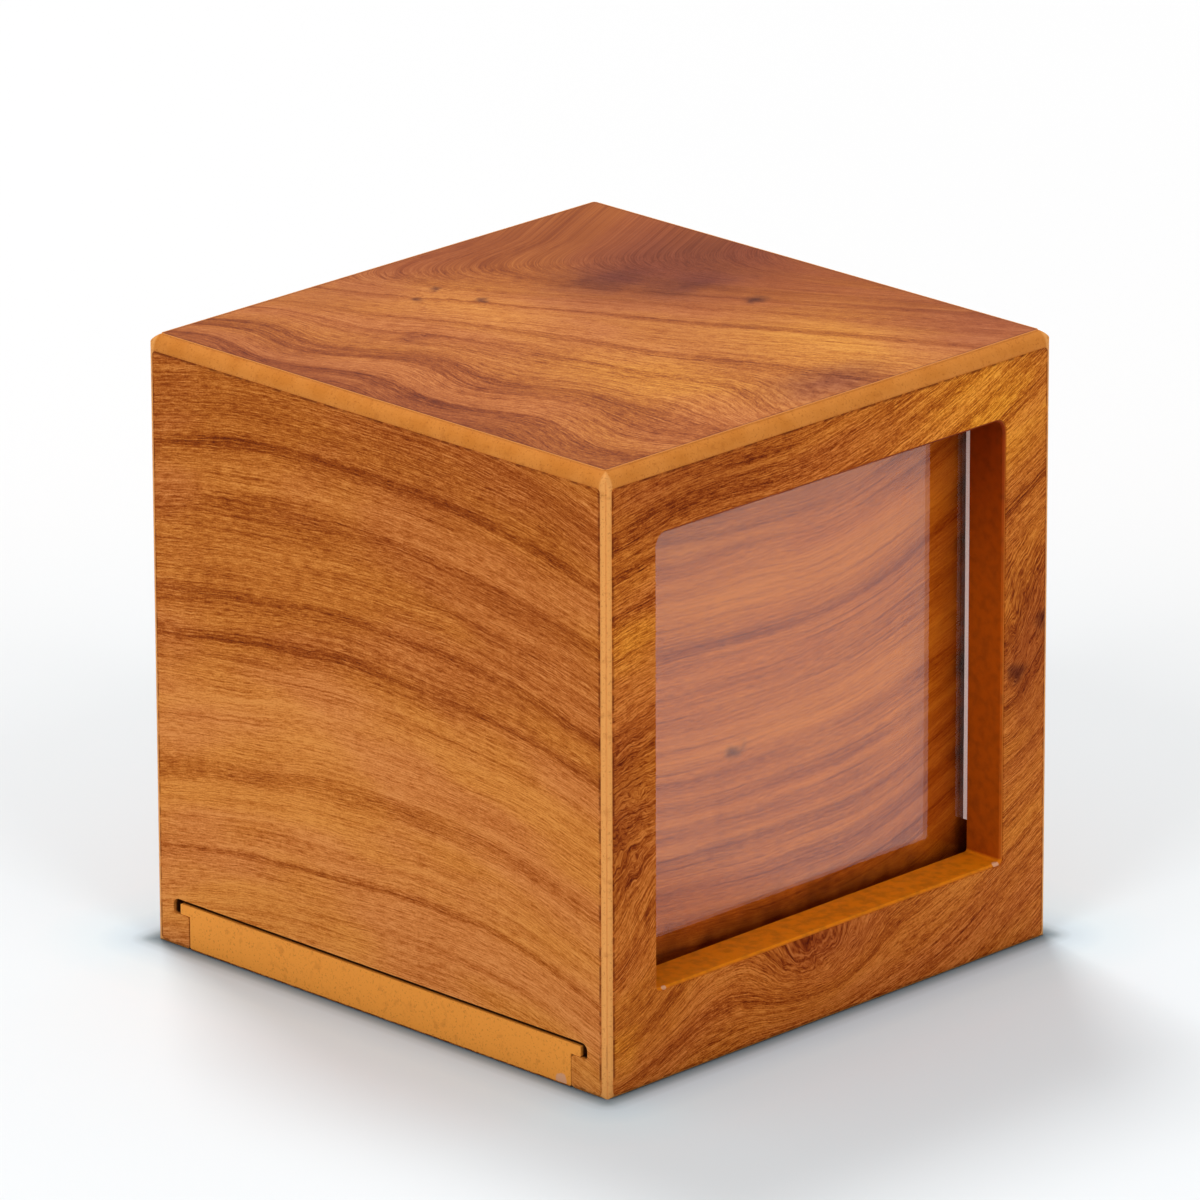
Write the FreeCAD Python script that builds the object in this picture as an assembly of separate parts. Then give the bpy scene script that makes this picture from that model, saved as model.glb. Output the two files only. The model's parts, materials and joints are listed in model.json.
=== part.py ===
import FreeCAD, Part

import os

# Cube-shaped keepsake box of laminated MDF board, in millimetres.
#
# Five mitred boards make the case: a front frame with a window, a back wall, a left and a right
# wall, and a top panel. Printed wood-grain foil covers their flat outer faces and stops at the
# rounded edges, which are bare stained board. A clear pane is taped behind the window, and a
# backing board stands behind it in two upright grooves, so that a picture drops in between them
# from below. The base plate has a tongue along three of its edges. It slides out to the left,
# through a T-shaped channel in the left wall.
#
# +X is to the right, -Y is the front with the window, and +Z is up. The origin is on the surface
# that the box stands on, below its centre.

Vector = FreeCAD.Vector

# Overall size, over the foil
WIDTH = 125.0
DEPTH = 126.0
HEIGHT = 126.5

# Boards and foil
BOARD = 9.0
FOIL = 0.2

# Outer edges of the case: from the outer faces to the edge of the foil
TOP_INSET = 2.0
TOP_DROP = 3.3
UPRIGHT_INSET = 1.8
BOTTOM_EASE = 0.6
MITRE_LINE = 0.12
FOIL_CORNER = 0.8

# Window: how far its edges stand inside the cavity's sides and top, and above the channel.
# Its corners at the sill are cut nearly square.
SIDE_LAND = 4.8
TOP_LAND = 6.2
SILL_LAND = 8.9
WINDOW_CORNER = 2.4
SILL_CORNER = 0.6
WINDOW_EASE = 0.4

# Base plate, and the channel that it slides in
TONGUE = 2.2
BASE_LIFT = 0.3
LIP_GAP = 0.1
HEADROOM = 0.9
GROOVE_DEPTH = 3.8
TONGUE_TIP_GAP = 1.9
NECK_LAND = 0.5
BODY_SIDE_GAP = 0.25
BODY_END_GAP = 0.3
FACE_SET_BACK = 0.1
BASE_EASE = 0.25
FOOT_EASE = 1.2
LIP_EASE = 0.8
GROOVE_LOWER_ROUND = 0.5
GROOVE_UPPER_ROUND = 1.5

# Pane, its tape, and the backing board
TAPE_THICK = 1.0
TAPE_MARGIN = 0.3
TAPE_STOP = 6.6
TAPE_GAP = 0.2
PANE_THICK = 1.2
PANE_GAP = 0.5
PANE_SKIRT = 5.0
PICTURE_GAP = 2.0
BACKING = 3.0
BACKING_LIFT = 0.4
DADO_DEPTH = 3.0
DADO_SLACK = 0.1

# How far a cutting solid runs past what it cuts
OVERCUT = 1.0

# Outer faces, faces of the boards under the foil, and faces of the cavity
WALL = BOARD + FOIL
HALF_W = WIDTH / 2
HALF_D = DEPTH / 2
CORE_X = HALF_W - FOIL
CORE_Y = HALF_D - FOIL
CORE_TOP = HEIGHT - FOIL
INNER_X = HALF_W - WALL
INNER_Y = HALF_D - WALL
INNER_TOP = HEIGHT - WALL

# Heights and half-widths of the base plate and its channel
BASE_TOP = BASE_LIFT + BOARD
TONGUE_BOTTOM = BASE_TOP - TONGUE
LIP_TOP = TONGUE_BOTTOM - LIP_GAP
CHANNEL_TOP = BASE_TOP + HEADROOM
NECK_HALF = INNER_Y - NECK_LAND
GROOVE_HALF = INNER_Y + GROOVE_DEPTH
GROOVE_END = INNER_X + GROOVE_DEPTH
BODY_HALF = NECK_HALF - BODY_SIDE_GAP
BASE_FACE = -HALF_W + FACE_SET_BACK
BODY_END = INNER_X - BODY_END_GAP

# Edges of the window
WINDOW_HALF = INNER_X - SIDE_LAND
WINDOW_SILL = CHANNEL_TOP + SILL_LAND
WINDOW_TOP = INNER_TOP - TOP_LAND

# Layers behind the front frame, from its rear face to the back
FRAME_REAR = -INNER_Y
PANE_FRONT = FRAME_REAR + TAPE_THICK
PANE_REAR = PANE_FRONT + PANE_THICK
BACKING_FACE = PANE_REAR + PICTURE_GAP
BACKING_FRONT = BACKING_FACE + FOIL
BACKING_REAR = BACKING_FRONT + BACKING
BACKING_HALF = INNER_X + DADO_DEPTH
BACKING_BOTTOM = CHANNEL_TOP + BACKING_LIFT
PANE_HALF = INNER_X - PANE_GAP
TAPE_WIDTH = SIDE_LAND - PANE_GAP - TAPE_MARGIN


def box(x0, x1, y0, y1, z0, z1):
    """A block between two opposite corners."""
    return Part.makeBox(x1 - x0, y1 - y0, z1 - z0, Vector(x0, y0, z0))


def line(a, b):
    return Part.LineSegment(a, b).toShape()


def rectangle(u0, u1, v0, v1):
    """The corners of a rectangle in a plane, anticlockwise from its lowest one."""
    return [(u0, v0), (u1, v0), (u1, v1), (u0, v1)]


def in_xy(z):
    """A function that puts a point (u, v) of a level plane in space."""
    return lambda u, v: Vector(u, v, z)


def in_xz(y):
    return lambda u, v: Vector(u, y, v)


def in_yz(x):
    return lambda u, v: Vector(x, u, v)


def corner_points(corner, before, after, reach_in, reach_out):
    """Start, middle and end of the arc that rounds a right-angled corner.

    The arc starts reach_in before the corner and ends reach_out after it. It is tangent to the
    edge that it reaches further along, and with equal reaches to both.
    """
    back = (before - corner).normalize()
    forward = (after - corner).normalize()
    start = corner + back * reach_in
    end = corner + forward * reach_out
    radius = (reach_in**2 + reach_out**2) / (2 * min(reach_in, reach_out))
    centre = start + forward * radius
    if reach_out > reach_in:
        centre = end + back * radius
    towards = (start - centre) + (end - centre)
    return start, centre + towards.normalize() * radius, end


def outline(points, rounds, place):
    """A closed flat wire through (u, v) points, which place() puts in space.

    rounds holds one pair of reaches for each corner, as corner_points() takes them.
    """
    count = len(points)
    corners = [Vector(u, v, 0) for u, v in points]
    arcs = []
    for i in range(count):
        after = corners[(i + 1) % count]
        arcs.append(corner_points(corners[i], corners[i - 1], after, *rounds[i]))
    edges = []
    for i in range(count):
        start, middle, end = [place(p.x, p.y) for p in arcs[i]]
        following = arcs[(i + 1) % count][0]
        edges.append(Part.Arc(start, middle, end).toShape())
        edges.append(line(end, place(following.x, following.y)))
    return Part.Wire(edges)


def prism(points, rounds, place, along):
    """A straight solid: an outline drawn out along a vector."""
    return Part.Face(outline(points, rounds, place)).extrude(along)


def rounding(u, v, reach_u, reach_v, place, along):
    """The sliver to cut away where a solid's corner at (u, v) is rounded off.

    The solid lies towards (u + reach_u, v + reach_v), and the two reaches are equally long.
    """
    corner = place(u, v)
    first = place(u + reach_u, v)
    second = place(u, v + reach_v)
    centre = place(u + reach_u, v + reach_v)
    middle = centre + (corner - centre).normalize() * abs(reach_u)
    arc = Part.Arc(first, middle, second).toShape()
    wire = Part.Wire([line(corner, first), arc, line(second, corner)])
    return Part.Face(wire).extrude(along)


def mitred_board(outer, inner):
    """A board between an outer rectangle and the smaller inner one that faces it."""
    quads = [outer, inner]
    for i in range(4):
        j = (i + 1) % 4
        quads.append([outer[i], outer[j], inner[j], inner[i]])
    faces = [Part.Face(Part.makePolygon(quad + quad[:1])) for quad in quads]
    solid = Part.Solid(Part.Shell(faces))
    if solid.Volume < 0:
        solid.reverse()
    return solid


def upright_board(place, outer_half, inner_half, outer, inner):
    """A mitred wall that stands on the ground, from its outer plane to its inner one."""
    outer_corners = rectangle(-outer_half, outer_half, 0, HEIGHT)
    inner_corners = rectangle(-inner_half, inner_half, 0, INNER_TOP)
    return mitred_board(
        [place(outer)(u, v) for u, v in outer_corners],
        [place(inner)(u, v) for u, v in inner_corners],
    )


def rounded_block():
    """The outside of the five boards under the foil, with its edges rounded."""
    ease = (BOTTOM_EASE, BOTTOM_EASE)
    upright = (UPRIGHT_INSET - FOIL, UPRIGHT_INSET - FOIL)
    inset = TOP_INSET - FOIL
    drop = TOP_DROP - FOIL
    side_rounds = [ease, ease, (drop, inset), (inset, drop)]
    plan = rectangle(-CORE_X, CORE_X, -CORE_Y, CORE_Y)
    front = rectangle(-CORE_X, CORE_X, 0, CORE_TOP)
    side = rectangle(-CORE_Y, CORE_Y, 0, CORE_TOP)
    block = prism(plan, [upright] * 4, in_xy(0), Vector(0, 0, CORE_TOP))
    block = block.common(prism(front, side_rounds, in_xz(-HALF_D), Vector(0, DEPTH, 0)))
    return block.common(prism(side, side_rounds, in_yz(-HALF_W), Vector(WIDTH, 0, 0)))


def mitre_lines():
    """Fine grooves down the four upright edges, where two mitred boards meet."""
    radius = UPRIGHT_INSET - FOIL
    depth = radius * (1 - 0.5**0.5)
    x = CORE_X - depth
    y = CORE_Y - depth
    rods = []
    for side_x in (-x, x):
        for side_y in (-y, y):
            rods.append(Part.makeCylinder(MITRE_LINE, HEIGHT, Vector(side_x, side_y, 0)))
    return rods[0].fuse(rods[1:])


def channel():
    """What is routed out for the base plate: a T-shaped way in from the left."""
    left = -HALF_W - OVERCUT
    lower = (GROOVE_LOWER_ROUND, GROOVE_LOWER_ROUND)
    upper = (GROOVE_UPPER_ROUND, GROOVE_UPPER_ROUND)
    neck = box(left, INNER_X, -NECK_HALF, NECK_HALF, -OVERCUT, CHANNEL_TOP)
    groove = prism(
        rectangle(-GROOVE_HALF, GROOVE_HALF, LIP_TOP, CHANNEL_TOP),
        [lower, lower, upper, upper],
        in_yz(left),
        Vector(GROOVE_END - left, 0, 0),
    )
    through = Vector(-INNER_X - left, 0, 0)
    eases = []
    for side in (-1, 1):
        edge = side * NECK_HALF
        foot = rounding(edge, 0, side * FOOT_EASE, FOOT_EASE, in_yz(left), through)
        lip = rounding(edge, LIP_TOP, side * LIP_EASE, -LIP_EASE, in_yz(left), through)
        eases += [foot, lip]
    return neck.fuse([groove] + eases)


def window_outline(clearance, y):
    """The window's edge at a depth y, widened all round by a clearance."""
    half = WINDOW_HALF + clearance
    corner = (WINDOW_CORNER + clearance, WINDOW_CORNER + clearance)
    sill = (SILL_CORNER + clearance, SILL_CORNER + clearance)
    points = rectangle(-half, half, WINDOW_SILL - clearance, WINDOW_TOP + clearance)
    return outline(points, [sill, sill, corner, corner], in_xz(y))


def window_hole(clearance):
    """The window as a cutting solid, right through the front frame and its foil."""
    face = Part.Face(window_outline(clearance, -HALF_D - OVERCUT))
    return face.extrude(Vector(0, WALL + 2 * OVERCUT, 0))


def window_bevel():
    """The easing round the window's front edge, which opens towards the front."""
    wide = window_outline(WINDOW_EASE + FOIL, -HALF_D)
    narrow = window_outline(0, -CORE_Y + WINDOW_EASE)
    return Part.makeLoft([wide, narrow], True, True)


def front_frame(block, cuts):
    board = upright_board(in_xz, HALF_W, INNER_X, -HALF_D, -INNER_Y)
    return board.common(block).cut(cuts + [window_hole(0), window_bevel()])


def back_wall(block, cuts):
    board = upright_board(in_xz, HALF_W, INNER_X, HALF_D, INNER_Y)
    return board.common(block).cut(cuts)


def side_wall(side, block, cuts):
    """The left wall (side -1) or the right wall (side 1), with the backing board's groove."""
    board = upright_board(in_yz, HALF_D, INNER_Y, side * HALF_W, side * INNER_X)
    low = BACKING_FACE - DADO_SLACK
    high = BACKING_REAR + DADO_SLACK
    dado = box(-BACKING_HALF, BACKING_HALF, low, high, LIP_TOP, INNER_TOP)
    return board.common(block).cut(cuts + [dado])


def top_panel(block, cuts):
    outer = rectangle(-HALF_W, HALF_W, -HALF_D, HALF_D)
    inner = rectangle(-INNER_X, INNER_X, -INNER_Y, INNER_Y)
    board = mitred_board(
        [Vector(u, v, HEIGHT) for u, v in outer],
        [Vector(u, v, INNER_TOP) for u, v in inner],
    )
    return board.common(block).cut(cuts)


def base_plate():
    """The sliding base: a board with a thin tongue along its two sides and its inner end."""
    ease = (BASE_EASE, BASE_EASE)
    tip_half = GROOVE_HALF - TONGUE_TIP_GAP
    tip_end = GROOVE_END - TONGUE_TIP_GAP
    body = prism(
        rectangle(-BODY_HALF, BODY_HALF, BASE_LIFT + FOIL, BASE_TOP),
        [ease] * 4,
        in_yz(BASE_FACE),
        Vector(BODY_END - BASE_FACE, 0, 0),
    )
    tongue = prism(
        rectangle(-tip_half, tip_half, TONGUE_BOTTOM, BASE_TOP),
        [ease] * 4,
        in_yz(BASE_FACE),
        Vector(tip_end - BASE_FACE, 0, 0),
    )
    return body.fuse(tongue).removeSplitter()


def base_foil():
    half = BODY_HALF - BASE_EASE
    return box(BASE_FACE, BODY_END, -half, half, BASE_LIFT, BASE_LIFT + FOIL)


def foil(place, u_half, v_low, v_high, inward):
    """A foil sheet on an outer face, with slightly rounded corners."""
    corner = (FOIL_CORNER, FOIL_CORNER)
    return prism(rectangle(-u_half, u_half, v_low, v_high), [corner] * 4, place, inward)


def end_foil(side):
    """The foil on the front frame (side -1, round its window) or the back wall (side 1)."""
    half = HALF_W - UPRIGHT_INSET
    inward = Vector(0, -side * FOIL, 0)
    sheet = foil(in_xz(side * HALF_D), half, BOTTOM_EASE, HEIGHT - TOP_DROP, inward)
    if side < 0:
        sheet = sheet.cut(window_hole(WINDOW_EASE + FOIL))
    return sheet


def side_foil(side, way):
    """The foil on the left wall (side -1) or the right wall (side 1)."""
    half = HALF_D - UPRIGHT_INSET
    inward = Vector(-side * FOIL, 0, 0)
    sheet = foil(in_yz(side * HALF_W), half, BOTTOM_EASE, HEIGHT - TOP_DROP, inward)
    return sheet.cut(way)


def top_foil():
    half_y = HALF_D - TOP_INSET
    return foil(in_xy(HEIGHT), HALF_W - TOP_INSET, -half_y, half_y, Vector(0, 0, -FOIL))


def backing_layer(front, rear):
    """The backing board, or the foil on its face: a layer that fits in both side grooves."""
    return box(-BACKING_HALF, BACKING_HALF, front, rear, BACKING_BOTTOM, INNER_TOP)


def window_pane():
    low = WINDOW_SILL - PANE_SKIRT
    return box(-PANE_HALF, PANE_HALF, PANE_FRONT, PANE_REAR, low, INNER_TOP - PANE_GAP)


def side_tape(side):
    """Foam tape between the frame and the pane, with one edge flush with the window's side."""
    near = side * WINDOW_HALF
    far = side * (WINDOW_HALF + TAPE_WIDTH)
    low = WINDOW_SILL + TAPE_STOP
    high = WINDOW_TOP + TAPE_WIDTH
    return box(min(near, far), max(near, far), FRAME_REAR, PANE_FRONT, low, high)


def top_tape():
    half = WINDOW_HALF - TAPE_GAP
    return box(-half, half, FRAME_REAR, PANE_FRONT, WINDOW_TOP, WINDOW_TOP + TAPE_WIDTH)


def build():
    """Every sub-part, by name."""
    block = rounded_block()
    way = channel()
    cuts = [way, mitre_lines()]
    return {
        "front_frame": front_frame(block, cuts),
        "back_wall": back_wall(block, cuts),
        "left_wall": side_wall(-1, block, cuts),
        "right_wall": side_wall(1, block, cuts),
        "top_panel": top_panel(block, cuts),
        "base_plate": base_plate(),
        "backing_board": backing_layer(BACKING_FRONT, BACKING_REAR),
        "window_pane": window_pane(),
        "pane_tape_left": side_tape(-1),
        "pane_tape_right": side_tape(1),
        "pane_tape_top": top_tape(),
        "front_foil": end_foil(-1),
        "back_foil": end_foil(1),
        "left_foil": side_foil(-1, way),
        "right_foil": side_foil(1, way),
        "top_foil": top_foil(),
        "backing_foil": backing_layer(BACKING_FACE, BACKING_FRONT),
        "base_foil": base_foil(),
    }


os.makedirs("parts", exist_ok=True)
for name, shape in build().items():
    state = "valid" if shape.isValid() else "NOT VALID"
    print(f"{name:16s} {len(shape.Solids)} solid, {state}, {shape.Volume:9.1f} mm3")
    shape.exportStep(f"parts/{name}.step")
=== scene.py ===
import json
import math

import bpy
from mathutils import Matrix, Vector


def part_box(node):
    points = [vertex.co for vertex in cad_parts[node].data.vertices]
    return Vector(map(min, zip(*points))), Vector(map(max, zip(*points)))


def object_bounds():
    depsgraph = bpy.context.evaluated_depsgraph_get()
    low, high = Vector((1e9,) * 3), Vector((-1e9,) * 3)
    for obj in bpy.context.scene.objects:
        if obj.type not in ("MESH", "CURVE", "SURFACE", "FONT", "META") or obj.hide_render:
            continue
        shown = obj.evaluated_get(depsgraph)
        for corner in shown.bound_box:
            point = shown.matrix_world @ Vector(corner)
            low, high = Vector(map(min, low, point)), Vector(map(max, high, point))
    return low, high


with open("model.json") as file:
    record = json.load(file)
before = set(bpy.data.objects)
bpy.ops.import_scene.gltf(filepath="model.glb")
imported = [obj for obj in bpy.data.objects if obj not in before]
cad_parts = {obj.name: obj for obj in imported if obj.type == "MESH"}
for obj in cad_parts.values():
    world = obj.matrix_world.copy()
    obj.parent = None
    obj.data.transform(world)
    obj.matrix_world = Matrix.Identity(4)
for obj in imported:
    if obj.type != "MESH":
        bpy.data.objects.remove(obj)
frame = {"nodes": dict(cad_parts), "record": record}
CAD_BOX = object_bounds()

MM = 0.001


def in_mm(box):
    """A box's two corners, in millimetres."""
    return [[v * 1000 for v in corner] for corner in box]


CAD_LOW, CAD_HIGH = in_mm(CAD_BOX)


# ---------------------------------------------------------------------------------------------
# Node graphs written as arithmetic


class Term:
    """A number that varies over a surface: one output socket in a material's node graph."""

    def __init__(self, graph, socket):
        self.graph = graph
        self.socket = socket

    def __add__(self, other):
        return self.graph.math("ADD", self, other)

    def __sub__(self, other):
        return self.graph.math("SUBTRACT", self, other)

    def __mul__(self, other):
        return self.graph.math("MULTIPLY", self, other)

    def __truediv__(self, other):
        return self.graph.math("DIVIDE", self, other)

    def __rsub__(self, other):
        return self.graph.math("SUBTRACT", other, self)

    __radd__ = __add__
    __rmul__ = __mul__


class Graph:
    """One material's nodes. Lengths inside it are millimetres in the CAD model's frame."""

    def __init__(self, name):
        self.material = bpy.data.materials.new(name)
        self.material.use_nodes = True
        self.tree = self.material.node_tree
        self.tree.nodes.clear()
        self.output = self.tree.nodes.new("ShaderNodeOutputMaterial")
        place = self.tree.nodes.new("ShaderNodeTexCoord")
        split = self.tree.nodes.new("ShaderNodeSeparateXYZ")
        self.tree.links.new(place.outputs["Object"], split.inputs[0])
        self.x, self.y, self.z = [Term(self, out) * 1000.0 for out in split.outputs]
        self.along = {"x": self.x, "y": self.y, "z": self.z}

    def feed(self, socket, value):
        """Link a Term to a socket, or set a plain value on it."""
        if isinstance(value, Term):
            self.tree.links.new(value.socket, socket)
        else:
            socket.default_value = value

    def math(self, operation, *values):
        node = self.tree.nodes.new("ShaderNodeMath")
        node.operation = operation
        for socket, value in zip(node.inputs, values):
            self.feed(socket, value)
        return Term(self, node.outputs[0])

    def smooth(self, value, low, high):
        """0 below low, 1 above high, and a smooth step between them."""
        node = self.tree.nodes.new("ShaderNodeMapRange")
        node.interpolation_type = "SMOOTHSTEP"
        self.feed(node.inputs["Value"], value)
        self.feed(node.inputs["From Min"], low)
        self.feed(node.inputs["From Max"], high)
        return Term(self, node.outputs[0])

    def point(self, x, y, z=0.0):
        node = self.tree.nodes.new("ShaderNodeCombineXYZ")
        for socket, value in zip(node.inputs, (x, y, z)):
            self.feed(socket, value)
        return Term(self, node.outputs[0])

    def noise(self, x, y, seed, size_x, size_y, detail=2.0, roughness=0.5):
        """Noise from 0 to 1, about 0.5, whose grains are size_x by size_y."""
        node = self.tree.nodes.new("ShaderNodeTexNoise")
        self.feed(node.inputs["Vector"], self.point(x * (1 / size_x), y * (1 / size_y), seed))
        node.inputs["Scale"].default_value = 1.0
        node.inputs["Detail"].default_value = detail
        node.inputs["Roughness"].default_value = roughness
        return Term(self, node.outputs["Fac"])

    def grain(self, size, seed, detail=2.0):
        """Noise from 0 to 1 that is alike in every direction."""
        node = self.tree.nodes.new("ShaderNodeTexNoise")
        moved = self.point(*[v * (1 / size) + seed for v in (self.x, self.y, self.z)])
        self.feed(node.inputs["Vector"], moved)
        node.inputs["Scale"].default_value = 1.0
        node.inputs["Detail"].default_value = detail
        return Term(self, node.outputs["Fac"])

    def blob(self, x, y, centre, radius):
        """1 at a centre, falling smoothly to 0 at a radius; radius may be (rx, ry)."""
        rx, ry = radius if isinstance(radius, tuple) else (radius, radius)
        dx = (x - centre[0]) * (1 / rx)
        dy = (y - centre[1]) * (1 / ry)
        return 1 - self.smooth(self.math("SQRT", dx * dx + dy * dy), 0.0, 1.0)

    def ramp(self, value, stops, interpolation="EASE"):
        """Levels or colours through (position, level) pairs, by position."""
        low, high = stops[0][0], stops[-1][0]
        node = self.tree.nodes.new("ShaderNodeValToRGB")
        self.feed(node.inputs[0], (value - low) * (1 / (high - low)))
        ramp = node.color_ramp
        ramp.interpolation = interpolation
        for i, (position, level) in enumerate(stops):
            at = (position - low) / (high - low)
            if i == 0:
                stop = ramp.elements[0]
                stop.position = at
            elif i == len(stops) - 1:
                stop = ramp.elements[-1]
            else:
                stop = ramp.elements.new(at)
            stop.color = level if isinstance(level, tuple) else (level, level, level, 1)
        return Term(self, node.outputs[0])

    def mix(self, share, a, b, blend="MIX"):
        """Colour a, with a share of colour b mixed in."""
        node = self.tree.nodes.new("ShaderNodeMix")
        node.data_type = "RGBA"
        node.blend_type = blend
        self.feed(node.inputs[0], share)
        self.feed(node.inputs[6], a)
        self.feed(node.inputs[7], b)
        return Term(self, node.outputs[2])

    def bump(self, height, distance):
        """A normal for relief: height is from 0 to 1, and distance is in millimetres."""
        node = self.tree.nodes.new("ShaderNodeBump")
        node.inputs["Distance"].default_value = distance * MM
        self.feed(node.inputs["Height"], height)
        return Term(self, node.outputs[0])

    def surface(self, colour, roughness, normal=None, **plain):
        """Finish the graph with a Principled surface; plain values go on its own sockets."""
        shader = self.tree.nodes.new("ShaderNodeBsdfPrincipled")
        self.feed(shader.inputs["Base Color"], colour)
        self.feed(shader.inputs["Roughness"], roughness)
        if normal is not None:
            self.feed(shader.inputs["Normal"], normal)
        for name, value in plain.items():
            shader.inputs[name.replace("_", " ")].default_value = value
        self.tree.links.new(shader.outputs[0], self.output.inputs["Surface"])
        return shader


def colour(red, green, blue):
    """A screen colour, 0 to 255 for each part, as the linear colour that shaders take."""
    parts = []
    for value in (red, green, blue):
        v = value / 255
        parts.append(v / 12.92 if v <= 0.04045 else ((v + 0.055) / 1.055) ** 2.4)
    return (*parts, 1.0)


# ---------------------------------------------------------------------------------------------
# Colours

# The printed grain, from light to dark
PALE = colour(218, 142, 72)
GOLD = colour(206, 128, 60)
HONEY = colour(189, 109, 44)
AMBER = colour(167, 88, 28)
BROWN = colour(139, 62, 8)
DARK = colour(96, 32, 2)

# Bare board: its stain; a lighter colour on the upright edges, which is a painted highlight; the
# window's sides, darker as painted shade of the recess and darker still at their top as painted
# shade, with the sill lighter as painted light from above; the base plate's lighter colour, which
# is painted light on its end; dust, which also paints the shade in a gap; and worn fibre
BARE = colour(209, 131, 56)
STAINED = colour(200, 121, 46)
UPRIGHT_HIGHLIGHT = colour(228, 158, 86)
RECESS_SHADE = colour(174, 76, 3)
RECESS_TOP_SHADE = colour(136, 44, 2)
LEDGE_LIGHT = colour(224, 126, 10)
BASE_END_LIT = colour(235, 151, 60)
GRIME_AND_GAP_SHADE = colour(52, 24, 10)
WORN = colour(216, 158, 120)

# Tints, which multiply a colour: two for the drift of the hue, and the rest for patches
ROSY = (1.00, 0.97, 1.10, 1)
GOLDEN = (1.01, 1.02, 0.86, 1)
SHINE = (1.19, 1.36, 1.06)
DUSK = (0.93, 0.84, 0.92)
RUST = (0.76, 0.64, 0.80)
PLUM = (0.62, 0.52, 0.86)
SHADE = (0.74, 0.62, 0.62)
# Painted shade: darkens the backing board where the frame shades it
BACKING_SHADE = (0.24, 0.10, 0.10)
KNOT = (0.34, 0.26, 0.40)
# A painted shadow: a near-black strip in the gap beside the right-hand tape
GAP_SHADOW = (0.04, 0.02, 0.02)

# Tints of whole foils; the front's and the top's make those faces darker as painted shade
FRONT_SHADE_CAST = (0.98, 0.86, 0.60, 1)
INNER_CAST = (1.12, 0.76, 0.20, 1)
TOP_SHADE_CAST = (0.89, 0.84, 0.86, 1)

# Foam tape and its cells, clear acrylic and what it lets through, and the floor
FOAM = colour(252, 248, 246)
FOAM_CELL = colour(238, 228, 224)
ACRYLIC = (0.99, 0.99, 0.99, 1)
ACRYLIC_PASSES = (0.95, 0.95, 0.95, 1)
FLOOR_DIM = (0.84, 0.84, 0.84, 1)
FLOOR_BRIGHT = (0.85, 0.85, 0.85, 1)
FLOOR_NEAR = (0.80, 0.87, 0.905, 1)


# ---------------------------------------------------------------------------------------------
# Wood-grain foil

# The tone, which says how dark the grain is, and its colour there
TONES = [(-0.18, PALE), (0.06, GOLD), (0.32, HONEY), (0.56, AMBER), (0.86, BROWN), (1.35, DARK)]

# Slow to quick wandering of the grain: seed offset, sizes across and along it in millimetres,
# detail, and how far it moves the grain in millimetres
WANDERING = [(0.0, 30.0, 55.0, 1.0, 5.0), (3.7, 6.0, 16.0, 2.0, 1.1), (5.1, 1.1, 3.2, 1.0, 0.35)]
# The extra wandering where the grain curls, with its roughness last
EDDY = (7.3, 4.5, 5.5, 2.0, 0.6)
EDDY_REACH = 5.0

# Layers of the print: seed offset, sizes across and along the grain in millimetres, detail and
# roughness
STREAK = (11.0, 2.2, 80.0, 3.0, 0.6)
LINE = (13.0, 0.9, 60.0, 1.0, 0.5)
HAIR = (17.0, 0.34, 24.0, 2.0, 0.6)
PRESENCE = (23.0, 14.0, 42.0, 2.0, 0.5)
FIBRE = (31.0, 0.24, 2.8, 1.0, 0.6)
PORE = (33.0, 0.22, 0.6, 1.0, 0.6)
FLECK = (43.0, 0.8, 1.7, 2.0, 0.6)
RELIEF = (61.0, 0.4, 3.0, 2.0, 0.5)
HUE = (91.0, 16.0, 60.0, 2.0, 0.5)

# Layers that don't follow the grain: seed offset, size in millimetres and detail
MOTTLE = (37.0, 13.0, 3.0)
SHEEN = (51.0, 9.0, 2.0)
RAGGED_U = (71.0, 6.0, 2.0)
RAGGED_V = (73.0, 6.0, 2.0)
BROKEN = (81.0, 2.0, 2.0)

# How far the outline of a patch wanders, in millimetres
RAGGED_REACH = 8.0

# How much each layer darkens the tone, and the tone with none of them
BAND_WEIGHT = 0.68
STREAK_WEIGHT = 0.60
LINE_WEIGHT = 0.24
MOTTLE_WEIGHT = 0.30
HAIR_WEIGHT = 0.90
FIBRE_WEIGHT = 1.00
PORE_WEIGHT = 0.60
FLECK_WEIGHT = 0.40
PLAIN_TONE = 0.06

# The darkness that a faint band keeps, and the tone and strength of a calm area
MIDDLE_BAND = 0.35
CALM_TONE = 0.40
CALM_SHARE = 0.45


def wander(g, across, along, seed, curl=None):
    """Across-the-grain position after the wood's own wandering, from slow to quick."""
    moved = across
    for offset, size_across, size_along, detail, reach in WANDERING:
        sway = g.noise(across, along, seed + offset, size_across, size_along, detail) - 0.5
        moved = moved + sway * reach
    if curl is not None:
        offset, *shape = EDDY
        eddy = g.noise(across, along, seed + offset, *shape) - 0.5
        moved = moved + eddy * curl * EDDY_REACH
    return moved


def edge_distance(g, node, axes):
    """Millimetres inwards from the outline of a sheet, along its two axes."""
    low, high = in_mm(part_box(node))
    nearest = None
    for axis in axes:
        side = "xyz".index(axis)
        for gap in (g.along[axis] - low[side], high[side] - g.along[axis]):
            nearest = gap if nearest is None else g.math("MINIMUM", nearest, gap)
    return nearest


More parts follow.
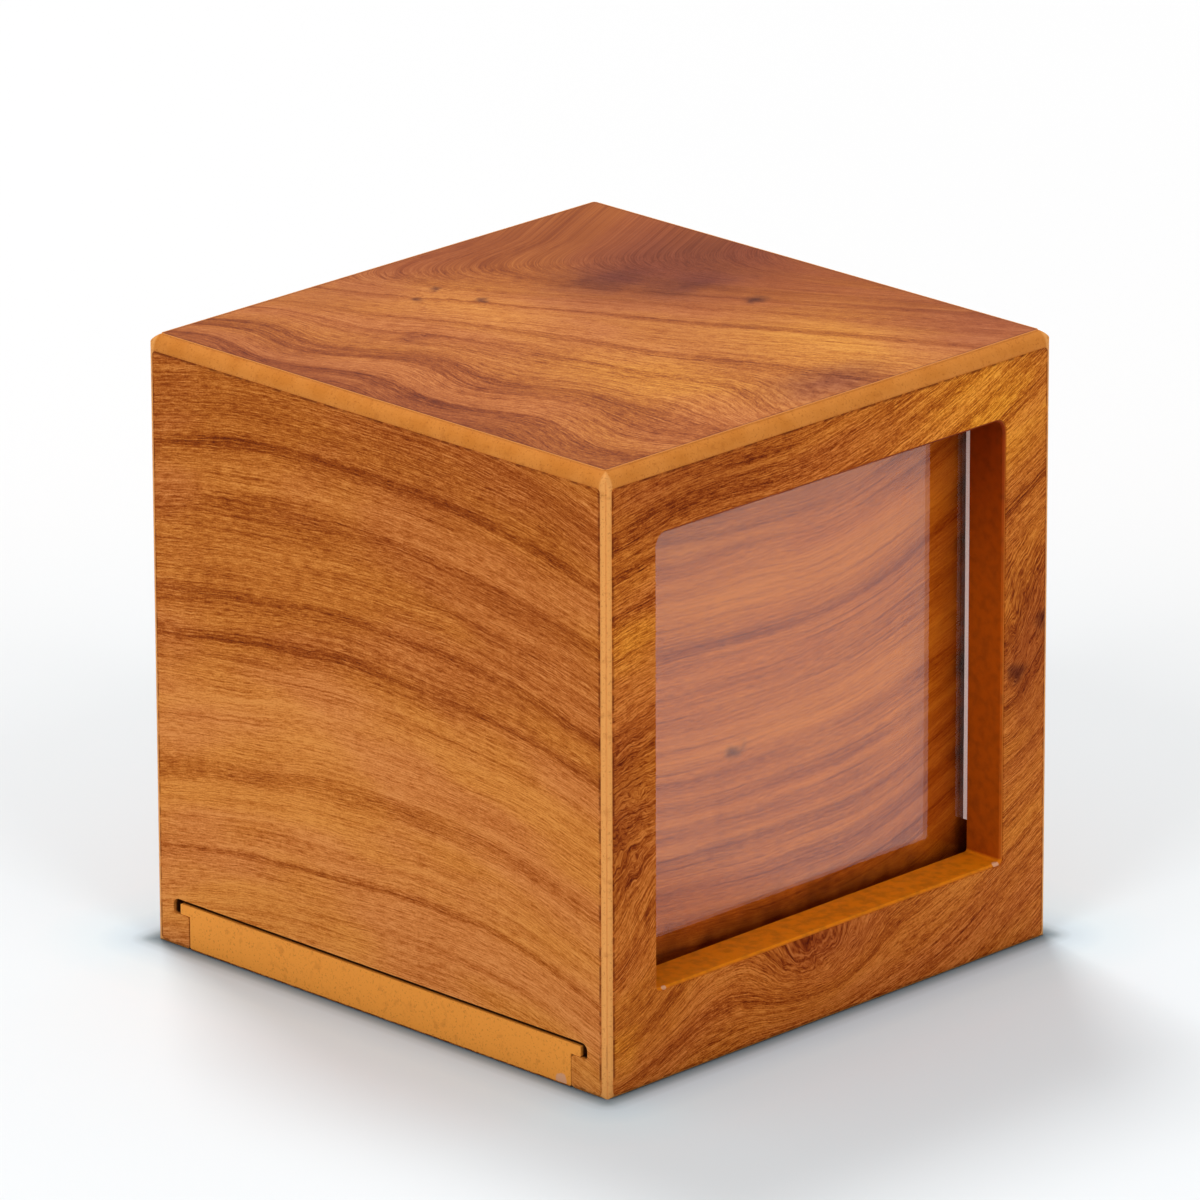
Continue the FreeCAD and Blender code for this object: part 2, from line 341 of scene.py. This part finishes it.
def foil(
    node, seed, flow, axes, bands, curl=None, patches=(), cast=None, rim="worn", dark=0.0,
    fine=1.0, coarse=1.0, calm=None, gloss=0.03,
):
    """Printed wood-grain foil under a satin lacquer.

    flow gives the position across and along the grain, and axes are the sheet's own two. bands
    are (position across, darkness) pairs. curl is how strongly the grain curls. patches are
    (centre, radius, tint) in the sheet's axes, and cast tints the whole sheet. rim is "worn",
    "line" for a bare edge with a dark line inside it, or "none". dark darkens all of it, fine
    and coarse are the contrast of the hair lines and of the streaks, calm is where both fade,
    and gloss is the shader's specular level.
    """
    g = Graph(node)
    u, v = [g.along[axis] for axis in axes]
    across, t = flow(g)
    curliness = curl(g) if curl else None
    s = wander(g, across, t, seed, curliness)

    def layer(kind):
        """A layer that follows the grain."""
        offset, *shape = kind
        return g.noise(s, t, seed + offset, *shape)

    def cloud(kind):
        """A layer that is alike in both of the sheet's axes."""
        offset, size, detail = kind
        return g.noise(u, v, seed + offset, size, size, detail)

    presence = g.smooth(layer(PRESENCE), 0.28, 0.62) * 0.4 + 0.6
    band = (g.ramp(s, bands) - MIDDLE_BAND) * presence + MIDDLE_BAND
    streak = layer(STREAK) - 0.5
    line = g.smooth(layer(LINE), 0.56, 0.74)
    hair = layer(HAIR) - 0.5
    fibre = layer(FIBRE) - 0.5
    pore = layer(PORE) - 0.5
    mottle = cloud(MOTTLE) - 0.5
    wide = streak * STREAK_WEIGHT + line * presence * LINE_WEIGHT
    narrow = hair * HAIR_WEIGHT + fibre * FIBRE_WEIGHT + pore * PORE_WEIGHT
    tone = band * BAND_WEIGHT + wide * coarse
    tone = tone + mottle * MOTTLE_WEIGHT + (PLAIN_TONE + dark)
    tone = tone + narrow * (fine + band * 0.30)
    if curliness is not None:
        tone = tone + g.smooth(layer(FLECK), 0.54, 0.68) * curliness * FLECK_WEIGHT
    if calm is not None:
        tone = tone + (CALM_TONE - tone) * calm(g) * CALM_SHARE
    base = g.ramp(tone, TONES)

    ragged_u = u + (cloud(RAGGED_U) - 0.5) * RAGGED_REACH
    ragged_v = v + (cloud(RAGGED_V) - 0.5) * RAGGED_REACH
    for centre, radius, tint in patches:
        base = g.mix(g.blob(ragged_u, ragged_v, centre, radius), base, (*tint, 1), "MULTIPLY")
    hue = layer(HUE)
    base = g.mix(g.smooth(hue, 0.40, 0.62), base, ROSY, "MULTIPLY")
    base = g.mix(g.smooth(hue, 0.58, 0.38), base, GOLDEN, "MULTIPLY")
    if cast is not None:
        base = g.mix(1.0, base, cast, "MULTIPLY")

    depth = edge_distance(g, node, axes)
    if rim == "line":
        base = g.mix((1 - g.smooth(depth, 0.45, 0.95)) * 0.45, base, DARK)
        base = g.mix(1 - g.smooth(depth, 0.18, 0.42), base, BARE)
    elif rim == "worn":
        broken = g.smooth(cloud(BROKEN), 0.40, 0.60)
        base = g.mix((1 - g.smooth(depth, 0.10, 0.55)) * (broken * 0.6 + 0.15), base, DARK)
    roughness = 0.40 + (cloud(SHEEN) - 0.5) * 0.10 - fibre * 0.12
    g.surface(base, roughness, g.bump(layer(RELIEF), 0.012), Specular_IOR_Level=gloss)
    return g.material


# Darkness across the grain, as (position in millimetres, darkness) pairs
LEFT_BANDS = [
    (0, 0.02), (12, -0.12), (19, -0.14), (26.2, 0.10), (27.1, 0.80), (28.6, -0.04), (31.4, 0.10),
    (33, -0.12), (40, 0.00), (43.4, 0.46), (45.2, 0.50), (47.5, -0.02), (54, -0.16), (61, -0.06),
    (63.6, 0.28), (66, 0.08), (70.4, 0.48), (71.6, 1.05), (74, 0.54), (78.6, 0.52), (80.0, 0.95),
    (82.5, 0.50), (90, 0.50), (97.5, 0.68), (99.8, 0.95), (101.2, 0.46), (105, 0.32),
    (109.5, 0.62), (111.7, 1.25), (113.4, 0.66), (119, 0.80), (127, 0.70),
]
PLAIN_BANDS = [
    (0, 0.30), (8, 0.12), (14, 0.40), (15, 0.85), (18, 0.26), (29, 0.06), (38, 0.40), (40.6, 0.95),
    (43, 0.42), (55, 0.06), (61, 0.12), (67, 0.45), (69.5, 1.00), (73, 0.40), (83, 0.10),
    (92, 0.30), (96, 0.90), (99, 0.36), (108, 0.12), (116, 0.45), (118, 0.80), (121, 0.34),
    (128, 0.30),
]
FRONT_BANDS = [
    (-20, 0.40), (2, 0.40), (6, 0.20), (11, 0.62), (14, 0.30), (19, 0.24), (24, 0.78), (26, 0.34),
    (33, 0.50), (38, 0.30), (44, 0.85), (47, 0.40), (54, 0.48), (60, 0.80), (63, 0.44), (70, 0.52),
    (76, 0.90), (79, 0.40), (85, 0.22), (90, 0.10), (94, 0.50), (98, 0.24), (101.5, 0.95),
    (103.5, 0.36), (107, 0.30), (110, 0.86), (112, 0.40), (117, 0.90), (119.5, 0.44), (124, 0.60),
    (134, 0.30),
]
INNER_BANDS = [
    (0, 0.50), (18, 0.40), (22, 0.72), (24.5, 0.28), (29, 0.80), (31.5, 0.26), (36.2, 1.00),
    (38, 0.28), (41, 0.80), (43.5, 0.24), (46, 0.74), (48.5, 0.28), (51.5, 0.74), (54, 0.30),
    (56.5, 0.02), (60, 0.06), (64, 0.44), (70, 0.52), (73, 0.38), (76.6, 0.44), (78.0, 1.15),
    (79.2, 0.90), (80.5, 0.48), (83.5, 0.20), (87, -0.02), (90, 0.10), (94, 0.46), (100, 0.54),
    (106, 0.42), (112, 0.58), (128, 0.50),
]
TOP_BANDS = [
    (-72, 0.60), (-60, 0.56), (-58, 0.66), (-57, 1.15), (-55.6, 0.26), (-53, 0.22), (-50.5, 0.34),
    (-49.4, 0.95), (-47.5, 0.60), (-46.0, 1.00), (-44.0, 0.40), (-41, 0.16), (-37, 0.34),
    (-36, 0.66), (-34.5, 0.18), (-30.5, 0.22), (-29, 0.70), (-27.6, 0.10), (-23, -0.05),
    (-18.5, 0.04), (-16.4, 0.72), (-14.8, 0.06), (-9, 0.10), (-6, 0.50), (-4, 0.26), (2, 0.36),
    (6, 0.70), (9, 0.38), (18, 0.56), (30, 0.44), (48, 0.60), (70, 0.50),
]


def arch(g, along, rise, crest, curve_before, curve_after):
    """Grain that arches over a crest: the height of a grain line, measured at the crest."""
    before = g.math("MINIMUM", along - crest, 0.0)
    after = g.math("MAXIMUM", along - crest, 0.0)
    return rise + before * before * curve_before + after * after * curve_after


def left_flow(g):
    along = 0 - g.y
    return arch(g, along, g.z, 9.0, 0.0013, 0.0030), along


def right_flow(g):
    return arch(g, g.y, g.z, -8.0, 0.0022, 0.0013), g.y


def back_flow(g):
    return arch(g, g.x, g.z, 12.0, 0.0016, 0.0028), g.x


def base_flow(g):
    return g.y + 63.0 + g.x * 0.05, g.x


def backing_flow(g):
    """Nearly level on the left, and rising more and more to the right."""
    return arch(g, g.x, g.z, 2.5, -0.0015, -0.0045), g.x


def front_flow(g):
    """Arcs on the left of the rails, and grain that climbs to the right up the right stile."""
    s = arch(g, g.x, g.z, -20.0, 0.0030, -0.0036)
    s = s + g.blob(g.x, g.z, (50.0, 60.0), (20.0, 30.0)) * 12.0
    s = s + g.blob(g.x, g.z, (-4.0, 12.0), (26.0, 14.0)) * 9.0
    s = s + g.blob(g.x, g.z, (-62.0, 22.0), (30.0, 34.0)) * 14.0
    return s, g.x + g.z * 0.3


def front_curl(g):
    stile = g.blob(g.x, g.z, (-58.0, 58.0), (16.0, 34.0))
    knots = g.blob(g.x, g.z, (56.0, 64.0), (14.0, 42.0))
    burl = g.blob(g.x, g.z, (-4.0, 13.0), (34.0, 12.0)) * 0.8
    return g.math("MAXIMUM", stile, g.math("MAXIMUM", knots, burl))


def top_flow(g):
    """Grain that runs from back to front, fans out to the right and sweeps up at the far corner."""
    ahead = 56.0 - g.y
    spread = 1 + ahead * 0.0111
    fan = (g.x - ahead * 0.714) / spread
    side = g.x - ahead * 0.53
    s = g.math("SMOOTH_MAX", fan, side, 6.0)
    sway = g.math("COSINE", (g.y - 12.0) * (2 * math.pi / 42.0)) * 2.8 / spread
    s = s - sway * (1 - g.smooth(g.x, -44.0, -14.0))
    tuck = g.smooth(0 - g.y, 38.0, 66.0) * g.blob(g.x, g.y, (-10.0, -62.0), (34.0, 60.0))
    s = s + tuck * 6.0
    sweep = (g.x - 45.0) * 0.43 - (g.y - 30.0) * 0.9 + 28.0
    s = s + (sweep - s) * g.smooth(g.x + g.y * 0.8, 20.0, 76.0)
    return s, g.y - g.x * 0.45


def top_curl(g):
    burl = g.blob(g.x, g.y, (-6.0, 40.0), (18.0, 22.0)) * 0.7
    small = g.blob(g.x, g.y, (-29.0, 23.0), (9.0, 12.0)) * 0.7
    eyes = g.blob(g.x, g.y, (34.0, 16.0), (26.0, 20.0)) * 0.6
    return g.math("MAXIMUM", burl, g.math("MAXIMUM", small, eyes))


def top_calm(g):
    """1 at the far right corner, where the pattern is faint."""
    return g.smooth(g.x + g.y * 0.8, 24.0, 70.0)


# Knots and lighter or darker areas: centre and radius in the sheet's own two axes, and a tint
TOP_PATCHES = [
    ((26.0, -38.0), (26.0, 34.0), SHINE),
    ((-6.0, 28.0), (16.0, 36.0), SHINE),
    ((-14.0, -30.0), (20.0, 40.0), SHINE),
    ((60.0, 22.0), (80.0, 80.0), RUST),
    ((44.0, 20.0), (46.0, 32.0), PLUM),
    ((25.0, 22.0), (15.0, 12.0), PLUM),
    ((34.0, 8.0), (16.0, 9.0), PLUM),
    ((12.0, 56.0), (60.0, 20.0), RUST),
    ((58.0, -52.0), (34.0, 34.0), RUST),
    ((36.0, -8.0), (3.6, 3.2), KNOT),
    ((-10.0, 40.0), (2.4, 2.2), KNOT),
    ((-3.5, 42.5), (2.6, 2.0), KNOT),
    ((-2.0, 31.0), (2.0, 1.8), KNOT),
    ((-29.0, 23.0), (4.6, 3.4), SHADE),
    ((8.0, -54.0), (22.0, 12.0), PLUM),
    ((-62.0, 0.0), (18.0, 140.0), SHADE),
]
FRONT_PATCHES = [
    ((52.0, 58.0), (3.6, 3.2), KNOT),
    ((59.0, 67.0), (3.2, 3.6), KNOT),
    ((56.0, 62.0), (12.0, 28.0), SHADE),
    ((-3.0, 16.0), (22.0, 7.0), SHADE),
    ((12.0, 8.0), (110.0, 22.0), DUSK),
    ((-60.0, 56.0), (13.0, 28.0), SHADE),
    ((-38.0, 120.0), (48.0, 18.0), SHADE),
    ((-58.0, 10.0), (8.0, 7.0), SHINE),
    ((-56.0, 92.0), (16.0, 9.0), SHINE),
    ((34.0, 117.0), (40.0, 16.0), SHINE),
    ((46.0, 112.0), (24.0, 30.0), SHINE),
]
# The backing's patches: a knot, then painted shade darker towards the right, a near-black painted
# shadow by the right-hand tape, and painted shade along the bottom by the sill
INNER_PATCHES = [
    ((-14.0, 55.3), (4.6, 1.8), KNOT),
    ((64.0, 65.0), (34.0, 140.0), BACKING_SHADE),
    ((53.4, 65.0), (6.4, 140.0), GAP_SHADOW),
    ((0.0, 12.0), (160.0, 16.0), BACKING_SHADE),
    ((0.0, 14.0), (160.0, 10.0), BACKING_SHADE),
]

left_grain = foil("left_foil", 1.0, left_flow, "yz", LEFT_BANDS, fine=1.3)
right_grain = foil("right_foil", 101.0, right_flow, "yz", PLAIN_BANDS, fine=1.3)
back_grain = foil("back_foil", 201.0, back_flow, "xz", PLAIN_BANDS, fine=1.3)
base_grain = foil("base_foil", 301.0, base_flow, "xy", PLAIN_BANDS, fine=1.3)
backing_grain = foil(
    "backing_foil", 401.0, backing_flow, "xz", INNER_BANDS, None, INNER_PATCHES, INNER_CAST,
    rim="none", dark=-0.12, fine=0.8, coarse=1.6,
)
# The front foil's cast darkens it as painted shade
front_grain = foil(
    "front_foil", 501.0, front_flow, "xz", FRONT_BANDS, front_curl, FRONT_PATCHES, FRONT_SHADE_CAST,
    fine=1.9, coarse=1.3,
)
# The top foil's cast darkens it as painted shade
top_grain = foil(
    "top_foil", 601.0, top_flow, "xy", TOP_BANDS, top_curl, TOP_PATCHES, TOP_SHADE_CAST, rim="line",
    fine=1.3, coarse=0.9, calm=top_calm, gloss=0.08,
)


# ---------------------------------------------------------------------------------------------
# Bare board, pane and tape


def chipped(g, chips):
    """1 where a corner is worn through to pale fibre; chips are (centre, radius) in millimetres."""
    ragged = (g.grain(2.0, 91.0) - 0.5) * 0.9
    worn = None
    for (x, y, z), radius in chips:
        dx, dy, dz = g.x - x, g.y - y, g.z - z
        near = 1 - g.math("SQRT", dx * dx + dy * dy + dz * dz) * (1 / radius) + ragged
        worn = near if worn is None else g.math("MAXIMUM", worn, near)
    return g.smooth(worn, 0.0, 0.25)


def board(name, tints=(BARE, STAINED), coats=(), chips=()):
    """Fibreboard under a satin stain: plain tan, clouded, with fine specks of fibre.

    tints are the two colours of its clouds. coats are (place, colour) pairs, where place(g) is 1
    on what the colour covers. chips are (centre, radius) pairs.
    """
    g = Graph(name)
    cloud = g.grain(6.0, 3.0, 3.0)
    speck = g.grain(0.45, 9.0)
    stain = g.grain(2.2, 15.0, 3.0)
    base = g.mix(g.smooth(cloud, 0.35, 0.65), *tints)
    # The rounded upright edges are coloured lighter: a painted highlight
    base = g.mix(upright_edge_highlight(g) * 0.9, base, UPRIGHT_HIGHLIGHT)
    base = g.mix(g.smooth(stain, 0.58, 0.72) * 0.25, base, AMBER)
    base = g.mix(g.smooth(speck, 0.56, 0.72) * 0.35, base, BROWN)
    for place, cover in coats:
        dusty = g.mix(g.smooth(stain, 0.35, 0.75) * 0.30, cover, GRIME_AND_GAP_SHADE)
        base = g.mix(place(g) * 0.95, base, dusty)
    if chips:
        base = g.mix(chipped(g, chips), base, WORN)
    relief = g.grain(0.6, 19.0)
    g.surface(base, 0.45 + (cloud - 0.5) * 0.1, g.bump(relief, 0.02), Specular_IOR_Level=0.06)
    return g.material


def upright_edge_highlight(g):
    """1 on the rounded upright edges, which are coloured lighter as a painted highlight."""
    from_side = CAD_HIGH[0] - g.math("ABSOLUTE", g.x)
    from_end = CAD_HIGH[1] - g.math("ABSOLUTE", g.y)
    return 1 - g.smooth(g.math("MAXIMUM", from_side, from_end), 1.6, 2.3)


# The window, from the record's opening, which starts 1.1 mm above the window's own sill
WINDOW_LOW, WINDOW_HIGH = next(
    in_mm(opening["box_m"])
    for opening in frame["record"]["physics"]["openings"]
    if opening["name"] == "window_recess"
)
SILL = WINDOW_LOW[2] - 1.1
FRONT = CAD_LOW[1]

# How far from the frame's sides, foot and head the window's darker colour, painted shade of the
# recess, starts
SHADE_FROM_SIDE = 11.0
SHADE_FROM_FOOT = 16.0
SHADE_FROM_HEAD = 12.0
SHADE_FADE = 1.0


def window_recess(g):
    """1 on the sides of the window, behind the eased edge of its front."""
    low, high = in_mm(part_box("front_frame"))
    face = in_mm(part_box("front_foil"))[0][1]
    inside = g.smooth(g.y, face, face + 0.4)
    for place, start in (
        (g.x, low[0] + SHADE_FROM_SIDE),
        (0 - g.x, SHADE_FROM_SIDE - high[0]),
        (g.z, low[2] + SHADE_FROM_FOOT),
        (0 - g.z, SHADE_FROM_HEAD - high[2]),
    ):
        inside = inside * g.smooth(place, start, start + SHADE_FADE)
    return inside


def window_head_shade(g):
    """1 towards the top of the window's sides, which are darkened there as painted shade under the
    top rail.
    """
    return window_recess(g) * g.smooth(g.z, 66.0, 112.0)


def window_ledge_light(g):
    """1 on the window's sill, which is coloured lighter than its sides as painted light from above.
    """
    return window_recess(g) * (1 - g.smooth(g.z, SILL + 0.1, SILL + 0.8))


def channel_mouth(g):
    """1 just inside the mouth of the base plate's channel: dust there, and painted shade of the
    gap.
    """
    mouth = in_mm(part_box("left_wall"))[0][0]
    top = in_mm(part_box("base_plate"))[1][2]
    deep = g.smooth(g.x, mouth + 0.2, mouth + 0.9) * (1 - g.smooth(g.x, mouth + 1.8, mouth + 3.6))
    return deep * g.smooth(g.z, top - 3.4, top - 2.6) * (1 - g.smooth(g.z, top + 1.2, top + 2.0))


def pane_material():
    """Clear acrylic. Light from the lamps and the room reaches the backing board through it."""
    g = Graph("clear_pane")
    shader = g.surface(ACRYLIC, 0.0, Transmission_Weight=1.0, IOR=1.49)
    clear = g.tree.nodes.new("ShaderNodeBsdfTransparent")
    clear.inputs["Color"].default_value = ACRYLIC_PASSES
    rays = g.tree.nodes.new("ShaderNodeLightPath")
    last = shader.outputs[0]
    for kind in ("Is Diffuse Ray", "Is Shadow Ray"):
        either = g.tree.nodes.new("ShaderNodeMixShader")
        g.tree.links.new(rays.outputs[kind], either.inputs[0])
        g.tree.links.new(last, either.inputs[1])
        g.tree.links.new(clear.outputs[0], either.inputs[2])
        last = either.outputs[0]
    g.tree.links.new(last, g.output.inputs["Surface"])
    return g.material


def tape_material():
    """White foam tape with fine cells."""
    g = Graph("foam_tape")
    cells = g.noise(g.x + g.y, g.z, 5.0, 0.25, 0.25, 2.0)
    base = g.mix(g.smooth(cells, 0.3, 0.7), FOAM, FOAM_CELL)
    g.surface(base, 0.7, g.bump(cells, 0.03), Specular_IOR_Level=0.2)
    return g.material


# Worn corners, as (centre, radius) in millimetres: one on the base plate, two on the window's sill
base_low = in_mm(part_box("base_plate"))[0]
BASE_CHIPS = [((base_low[0], base_low[1] + 5.2, base_low[2] + 0.4), 1.7)]
SILL_CHIPS = [
    ((WINDOW_LOW[0] + 0.8, FRONT + 0.4, SILL - 0.2), 0.7),
    ((WINDOW_HIGH[0], FRONT + 0.4, SILL - 0.2), 0.9),
]

bare = board("stained_board")
# The window's sides are darkened as painted shade of the recess, darker at their top as painted
# shade, and the sill is lightened as painted light
framed = board(
    "frame_board",
    coats=[(window_recess, RECESS_SHADE), (window_head_shade, RECESS_TOP_SHADE), (window_ledge_light, LEDGE_LIGHT)],
    chips=SILL_CHIPS,
)
# The channel's mouth is darkened as dust and as painted shade of the gap
wall_board = board("wall_board", coats=[(channel_mouth, GRIME_AND_GAP_SHADE)])
# The base plate is coloured lighter than bare board as painted light on its end
base_board = board(
    "base_board", (BASE_END_LIT, BASE_END_LIT), coats=[(channel_mouth, GRIME_AND_GAP_SHADE)], chips=BASE_CHIPS
)
pane = pane_material()
tape = tape_material()

LOOKS = {
    "front_foil": front_grain,
    "left_foil": left_grain,
    "right_foil": right_grain,
    "back_foil": back_grain,
    "top_foil": top_grain,
    "backing_foil": backing_grain,
    "base_foil": base_grain,
    "front_frame": framed,
    "left_wall": wall_board,
    "base_plate": base_board,
    "window_pane": pane,
    "pane_tape_left": tape,
    "pane_tape_right": tape,
    "pane_tape_top": tape,
}
for name, node in frame["nodes"].items():
    for slot in node.material_slots:
        slot.material = LOOKS.get(name, bare)


# ---------------------------------------------------------------------------------------------
# Studio

# The floor's contact shade: the share of light kept, by distance from the foot of the closed box
# in millimetres
CONTACT = [
    (0.0, (0.26, 0.29, 0.31, 1)), (1.5, (0.42, 0.46, 0.48, 1)), (3.0, (0.66, 0.71, 0.74, 1)),
    (5.0, (0.82, 0.88, 0.92, 1)), (8.0, (0.88, 0.94, 0.97, 1)), (12.0, (0.95, 0.99, 1.00, 1)),
    (24.0, (1.00, 1.00, 1.00, 1)),
]

# The cooler floor near the box reaches this far, in millimetres
NEAR_RADIUS = 320.0

# The floor's own size and the lamps' distance, in metres
FLOOR_RADIUS = 14.0
FLOOR_SIDES = 96
LAMP_DISTANCE = 7.0


def floor():
    """A round pale floor, cooler near the box to offset the light that its sides throw there."""
    g = Graph("studio_floor")
    tone = g.noise(g.x, g.y, 1.0, 300.0, 300.0, 2.0)
    base = g.mix(tone, FLOOR_DIM, FLOOR_BRIGHT)
    base = g.mix(g.blob(g.x, g.y, (0.0, 0.0), NEAR_RADIUS), base, FLOOR_NEAR)
    beyond_x = g.math("MAXIMUM", g.math("ABSOLUTE", g.x) - CAD_HIGH[0], 0.0)
    beyond_y = g.math("MAXIMUM", g.math("ABSOLUTE", g.y) - CAD_HIGH[1], 0.0)
    apart = g.math("SQRT", beyond_x * beyond_x + beyond_y * beyond_y)
    base = g.mix(1.0, base, g.ramp(apart, CONTACT, "LINEAR"), "MULTIPLY")
    g.surface(base, 0.9, Specular_IOR_Level=0.0)
    mesh = bpy.data.meshes.new("studio_floor")
    turns = [2 * math.pi * i / FLOOR_SIDES for i in range(FLOOR_SIDES)]
    ring = [(FLOOR_RADIUS * math.cos(a), FLOOR_RADIUS * math.sin(a), 0) for a in turns]
    mesh.from_pydata(ring, [], [list(range(FLOOR_SIDES))])
    mesh.materials.append(g.material)
    piece = bpy.data.objects.new("studio_floor", mesh)
    bpy.context.scene.collection.objects.link(piece)


def direction(azimuth, elevation):
    """The way out from the box, from radians: azimuth 0 is in front, and it grows to the right."""
    level = math.cos(elevation)
    return Vector((math.sin(azimuth) * level, -math.cos(azimuth) * level, math.sin(elevation)))


def lamp(name, azimuth, elevation, size, share):
    """A square soft light that faces the box; share is its light there, a white room's being 1."""
    away = direction(math.radians(azimuth), math.radians(elevation))
    light = bpy.data.lights.new(name, "AREA")
    light.size = size
    light.energy = share * math.pi**2 * LAMP_DISTANCE**2
    source = bpy.data.objects.new(name, light)
    source.location = away * LAMP_DISTANCE
    source.rotation_euler = away.to_track_quat("Z", "Y").to_euler()
    bpy.context.scene.collection.objects.link(source)


def room(horizon, zenith):
    """A white room that is brighter overhead than at the horizon."""
    world = bpy.data.worlds.new("studio")
    world.use_nodes = True
    tree = world.node_tree
    place = tree.nodes.new("ShaderNodeTexCoord")
    split = tree.nodes.new("ShaderNodeSeparateXYZ")
    level = tree.nodes.new("ShaderNodeMapRange")
    tree.links.new(place.outputs["Generated"], split.inputs[0])
    tree.links.new(split.outputs["Z"], level.inputs["Value"])
    level.inputs["To Min"].default_value = horizon
    level.inputs["To Max"].default_value = zenith
    background = tree.nodes["Background"]
    background.inputs["Color"].default_value = (1, 1, 1, 1)
    tree.links.new(level.outputs[0], background.inputs["Strength"])
    bpy.context.scene.world = world


def studio():
    room(horizon=0.31, zenith=0.64)
    lamp("back_soft", azimuth=152, elevation=57, size=1.9, share=0.44)
    lamp("left_soft", azimuth=-84, elevation=35, size=3.4, share=0.30)
    lamp("right_soft", azimuth=-6, elevation=38, size=3.4, share=0.22)
    bpy.context.scene.view_settings.view_transform = "Standard"


# The camera: its direction and roll in degrees, then its distance from the box's middle and how
# far it aims to the right of that and above it, in widths of the box, and its lens in millimetres
CAMERA_AZIMUTH = -45.4257
CAMERA_ELEVATION = 19.1613
CAMERA_ROLL = -0.1773
CAMERA_DISTANCE = 17.8739
AIM_RIGHT = -0.0012
AIM_UP = 0.0576
SENSOR_WIDTH = 36.0
LENS = 339.98


def camera():
    """The camera at the photograph's angle."""
    low, high = CAD_BOX
    width = high[0] - low[0]
    roll = math.radians(CAMERA_ROLL)
    back = direction(math.radians(CAMERA_AZIMUTH), math.radians(CAMERA_ELEVATION))
    right = Vector((0, 0, 1)).cross(back).normalized()
    up = back.cross(right)
    turned_right = right * math.cos(roll) + up * math.sin(roll)
    turned_up = up * math.cos(roll) - right * math.sin(roll)
    aim = Vector((0, 0, (low[2] + high[2]) / 2))
    aim += turned_right * (AIM_RIGHT * width) + turned_up * (AIM_UP * width)
    lens = bpy.data.cameras.new("camera")
    lens.sensor_width = SENSOR_WIDTH
    lens.lens = LENS
    lens.clip_start = 0.05
    lens.clip_end = 60.0
    piece = bpy.data.objects.new("camera", lens)
    matrix = piece.matrix_world.to_3x3()
    matrix.col[0], matrix.col[1], matrix.col[2] = turned_right, turned_up, back
    piece.matrix_world = matrix.to_4x4()
    piece.location = aim + back * (CAMERA_DISTANCE * width)
    bpy.context.scene.collection.objects.link(piece)
    bpy.context.scene.camera = piece


floor()
studio()
camera()
